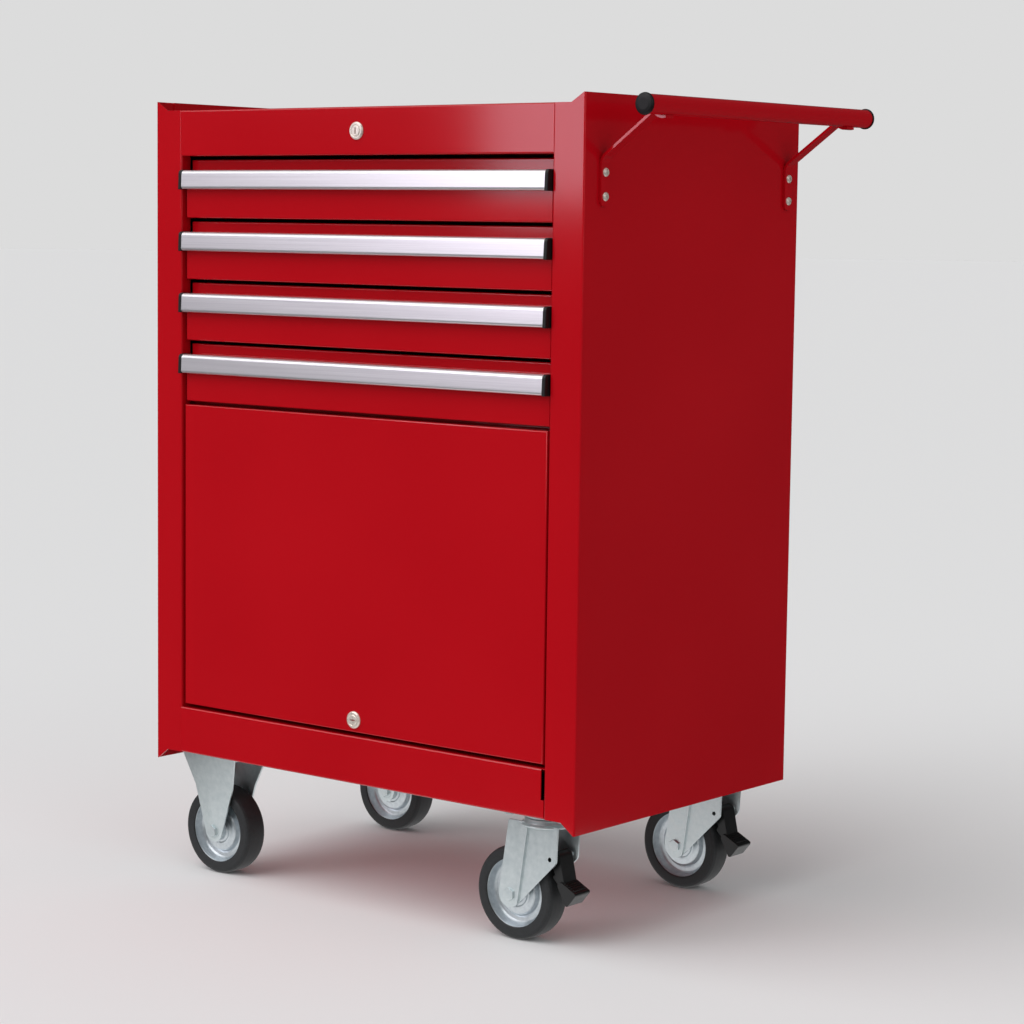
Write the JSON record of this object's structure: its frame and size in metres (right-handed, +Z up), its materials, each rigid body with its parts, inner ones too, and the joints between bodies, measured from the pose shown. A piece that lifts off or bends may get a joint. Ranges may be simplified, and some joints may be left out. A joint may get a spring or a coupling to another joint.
{
  "type": "roller tool cabinet",
  "caption": "Upright sheet-steel tool cabinet on casters: full-width drawers with metal pulls over a lockable flip-up door, recessed top and a push handle on one side.",
  "frame": {"origin": "on the floor, under the middle of the whole outline with the push handle", "axes": "+Z up, -Y out of the drawer fronts, +X towards the push handle"},
  "size_m": [0.706, 0.4156, 0.8915],
  "materials": {
    "red_paint": "glossy red powder coat",
    "galvanised_steel": "bright galvanised sheet",
    "zinc_plated_steel": "clear zinc plate",
    "bright_chrome": "polished",
    "anodised_trim": "satin clear anodised extrusion",
    "black_plastic": "moulded",
    "black_pedal": "satin black",
    "tyre_rubber": "moulded rubber",
    "cast_rim": "bright cast and turned"
  },
  "bodies": {
    "cabinet": {"left_side_panel": "red_paint", "right_side_panel": "red_paint", "back_panel": "red_paint", "top_tray": "red_paint", "bottom_pan": "red_paint", "top_front_rail": "red_paint", "bottom_front_rail": "red_paint", "divider_shelf": "red_paint", "slide_uprights": "galvanised_steel", "slide_outer_rails": "galvanised_steel", "top_lock_housing": "bright_chrome", "handle_tube": "red_paint", "handle_end_caps": "black_plastic", "handle_brackets": "red_paint", "handle_screws": "bright_chrome", "rigid_caster_forks": "zinc_plated_steel", "swivel_caster_plates": "zinc_plated_steel", "caster_bolts": "zinc_plated_steel", "door_pivot_pins": "zinc_plated_steel"},
    "drawer_1": {"drawer_1_box": "red_paint", "drawer_1_trim": "anodised_trim", "drawer_1_trim_caps": "black_plastic", "drawer_1_runners": "galvanised_steel"},
    "ball_cages_1": {"drawer_1_ball_cages": "galvanised_steel"},
    "drawer_2": {"drawer_2_box": "red_paint", "drawer_2_trim": "anodised_trim", "drawer_2_trim_caps": "black_plastic", "drawer_2_runners": "galvanised_steel"},
    "ball_cages_2": {"drawer_2_ball_cages": "galvanised_steel"},
    "drawer_3": {"drawer_3_box": "red_paint", "drawer_3_trim": "anodised_trim", "drawer_3_trim_caps": "black_plastic", "drawer_3_runners": "galvanised_steel"},
    "ball_cages_3": {"drawer_3_ball_cages": "galvanised_steel"},
    "drawer_4": {"drawer_4_box": "red_paint", "drawer_4_trim": "anodised_trim", "drawer_4_trim_caps": "black_plastic", "drawer_4_runners": "galvanised_steel"},
    "ball_cages_4": {"drawer_4_ball_cages": "galvanised_steel"},
    "top_lock": {"top_lock_plug": "bright_chrome", "top_lock_shaft": "galvanised_steel"},
    "lock_bar": {"lock_bar": "galvanised_steel"},
    "door": {"door_panel": "red_paint", "door_lock_housing": "bright_chrome"},
    "door_lock": {"door_lock_plug": "bright_chrome", "door_lock_cam": "galvanised_steel"},
    "front_swivel": {"front_swivel_fork": "zinc_plated_steel", "front_swivel_pins": "zinc_plated_steel"},
    "front_pedal": {"front_brake_pedal": "black_pedal"},
    "front_left_wheel": {"front_left_tyre": "tyre_rubber", "front_left_rim": "cast_rim"},
    "front_right_wheel": {"front_right_tyre": "tyre_rubber", "front_right_rim": "cast_rim"},
    "rear_swivel": {"rear_swivel_fork": "zinc_plated_steel", "rear_swivel_pins": "zinc_plated_steel"},
    "rear_pedal": {"rear_brake_pedal": "black_pedal"},
    "rear_left_wheel": {"rear_left_tyre": "tyre_rubber", "rear_left_rim": "cast_rim"},
    "rear_right_wheel": {"rear_right_tyre": "tyre_rubber", "rear_right_rim": "cast_rim"}
  },
  "joints": [
    {"name": "drawer_1_slide", "type": "slide", "parent": "cabinet", "child": "drawer_1", "axis": [0, -1, 0], "range_m": [0, 0.255]},
    {"name": "ball_cages_1_slide", "type": "slide", "parent": "cabinet", "child": "ball_cages_1", "axis": [0, -1, 0], "range_m": [0, 0.1276]},
    {"name": "drawer_2_slide", "type": "slide", "parent": "cabinet", "child": "drawer_2", "axis": [0, -1, 0], "range_m": [0, 0.255]},
    {"name": "ball_cages_2_slide", "type": "slide", "parent": "cabinet", "child": "ball_cages_2", "axis": [0, -1, 0], "range_m": [0, 0.1276]},
    {"name": "drawer_3_slide", "type": "slide", "parent": "cabinet", "child": "drawer_3", "axis": [0, -1, 0], "range_m": [0, 0.255]},
    {"name": "ball_cages_3_slide", "type": "slide", "parent": "cabinet", "child": "ball_cages_3", "axis": [0, -1, 0], "range_m": [0, 0.1276]},
    {"name": "drawer_4_slide", "type": "slide", "parent": "cabinet", "child": "drawer_4", "axis": [0, -1, 0], "range_m": [0, 0.255]},
    {"name": "ball_cages_4_slide", "type": "slide", "parent": "cabinet", "child": "ball_cages_4", "axis": [0, -1, 0], "range_m": [0, 0.1276]},
    {"name": "top_lock_turn", "type": "hinge", "parent": "cabinet", "child": "top_lock", "pos_m": [-0.04505, -0.19965, 0.8558], "axis": [0, 1, 0], "range_deg": [0, 90.1]},
    {"name": "lock_bar_lift", "type": "slide", "parent": "cabinet", "child": "lock_bar", "axis": [0, 0, 1], "range_m": [0, 0.007]},
    {"name": "door_hinge", "type": "hinge", "parent": "cabinet", "child": "door", "pos_m": [-0.04505, -0.19065, 0.5395], "axis": [-1, 0, 0], "range_deg": [0, 90]},
    {"name": "door_lock_turn", "type": "hinge", "parent": "door", "child": "door_lock", "pos_m": [-0.04505, -0.19765, 0.2155], "axis": [0, 1, 0], "range_deg": [0, 90]},
    {"name": "front_swivel_turn", "type": "hinge", "parent": "cabinet", "child": "front_swivel", "pos_m": [0.19495, -0.15465, 0.13], "axis": [0, 0, 1], "continuous": true},
    {"name": "front_left_wheel_roll", "type": "hinge", "parent": "cabinet", "child": "front_left_wheel", "pos_m": [-0.28505, -0.15465, 0.051], "axis": [0, 1, 0], "continuous": true},
    {"name": "front_right_wheel_roll", "type": "hinge", "parent": "front_swivel", "child": "front_right_wheel", "pos_m": [0.15995, -0.15465, 0.051], "axis": [0, 1, 0], "continuous": true},
    {"name": "front_pedal_press", "type": "hinge", "parent": "front_swivel", "child": "front_pedal", "pos_m": [0.21197, -0.15465, 0.09588], "axis": [0, 1, 0], "range_deg": [0, 7]},
    {"name": "rear_swivel_turn", "type": "hinge", "parent": "cabinet", "child": "rear_swivel", "pos_m": [0.19495, 0.14735, 0.13], "axis": [0, 0, 1], "continuous": true},
    {"name": "rear_left_wheel_roll", "type": "hinge", "parent": "cabinet", "child": "rear_left_wheel", "pos_m": [-0.28505, 0.14735, 0.051], "axis": [0, 1, 0], "continuous": true},
    {"name": "rear_right_wheel_roll", "type": "hinge", "parent": "rear_swivel", "child": "rear_right_wheel", "pos_m": [0.15995, 0.14735, 0.051], "axis": [0, 1, 0], "continuous": true},
    {"name": "rear_pedal_press", "type": "hinge", "parent": "rear_swivel", "child": "rear_pedal", "pos_m": [0.21197, 0.14735, 0.09588], "axis": [0, 1, 0], "range_deg": [0, 7]}
  ],
  "couplings": [
    {"joint": "ball_cages_1_slide", "follows": "drawer_1_slide", "ratio": 0.5},
    {"joint": "ball_cages_2_slide", "follows": "drawer_2_slide", "ratio": 0.5},
    {"joint": "ball_cages_3_slide", "follows": "drawer_3_slide", "ratio": 0.5},
    {"joint": "ball_cages_4_slide", "follows": "drawer_4_slide", "ratio": 0.5},
    {"joint": "top_lock_turn", "follows": "lock_bar_lift", "rad_per_m": 224.4}
  ]
}
